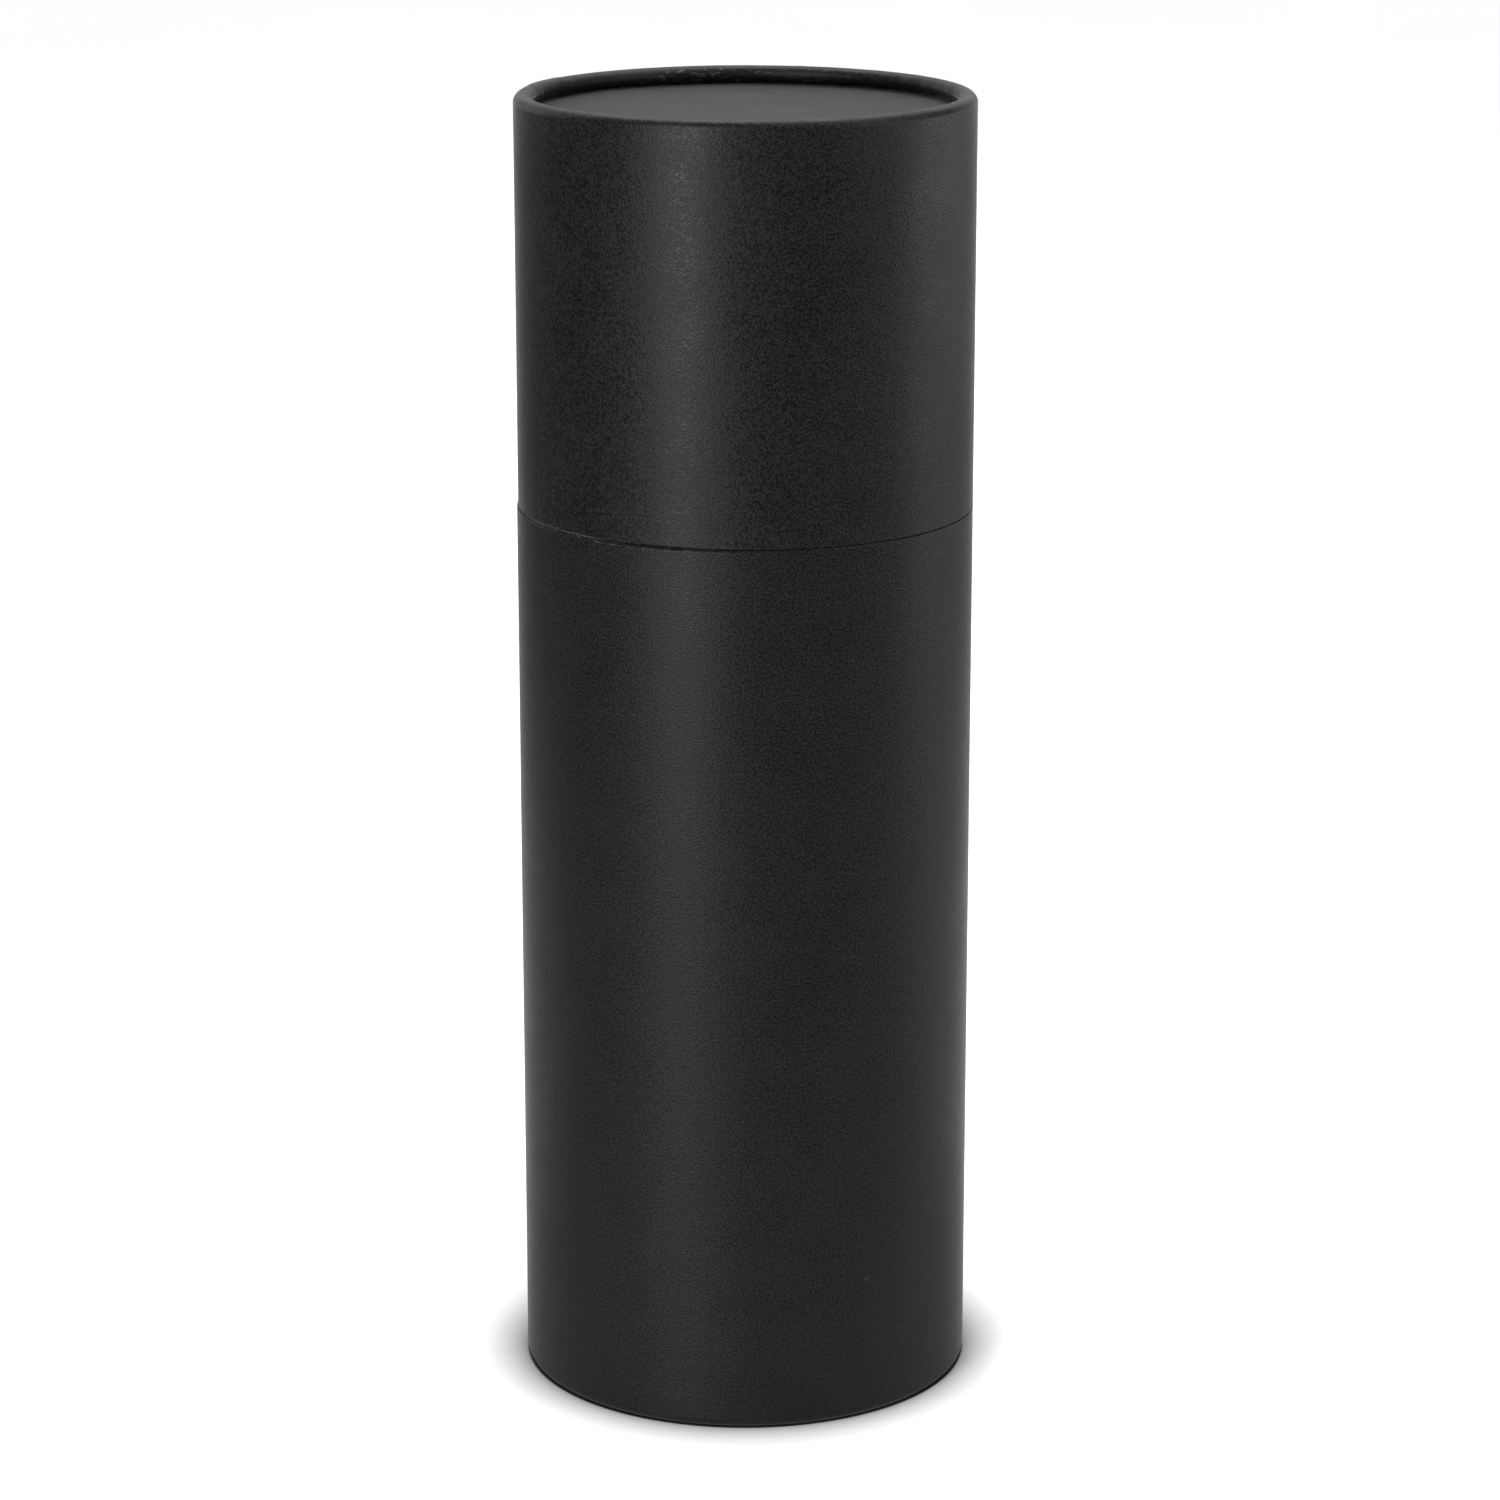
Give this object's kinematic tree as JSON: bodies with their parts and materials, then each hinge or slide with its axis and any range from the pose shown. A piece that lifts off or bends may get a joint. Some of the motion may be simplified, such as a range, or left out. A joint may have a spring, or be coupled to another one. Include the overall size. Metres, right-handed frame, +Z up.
{
  "type": "candle tube",
  "caption": "Round black paperboard candle tube with rolled rims, sunken end discs, an inner neck tube and a lid that lifts straight off.",
  "frame": {"origin": "centre of the foot, on the surface the tube stands on", "axes": "+Z up the tube's axis, towards the lid; the side that faces the viewer in the reference view is -Y"},
  "size_m": [0.08, 0.08, 0.23],
  "materials": {
    "black_cover_paper": "matt uncoated paper, fine fibres",
    "black_disc_paper": "matt uncoated paper, fine fibres",
    "black_neck_paper": "smooth matt paper",
    "tube_board": "raw grey board",
    "neck_board": "raw grey board",
    "disc_board": "raw grey board",
    "lining_paper": "natural kraft paper"
  },
  "bodies": {
    "base": {"base_cover_paper": "black_cover_paper", "base_tube": "tube_board", "base_lining_paper": "lining_paper", "base_bottom_paper": "black_disc_paper", "base_bottom_disc": "disc_board", "base_floor_lining": "lining_paper", "neck_tube": "neck_board", "neck_cover_paper": "black_neck_paper", "neck_lining_paper": "lining_paper"},
    "lid": {"lid_cover_paper": "black_cover_paper", "lid_tube": "tube_board", "lid_lining_paper": "lining_paper", "lid_top_paper": "black_disc_paper", "lid_top_disc": "disc_board", "lid_top_lining": "lining_paper"}
  },
  "joints": [
    {"name": "lid_lift", "type": "slide", "parent": "base", "child": "lid", "axis": [0, 0, 1], "range_m": [0, 0.06]}
  ]
}
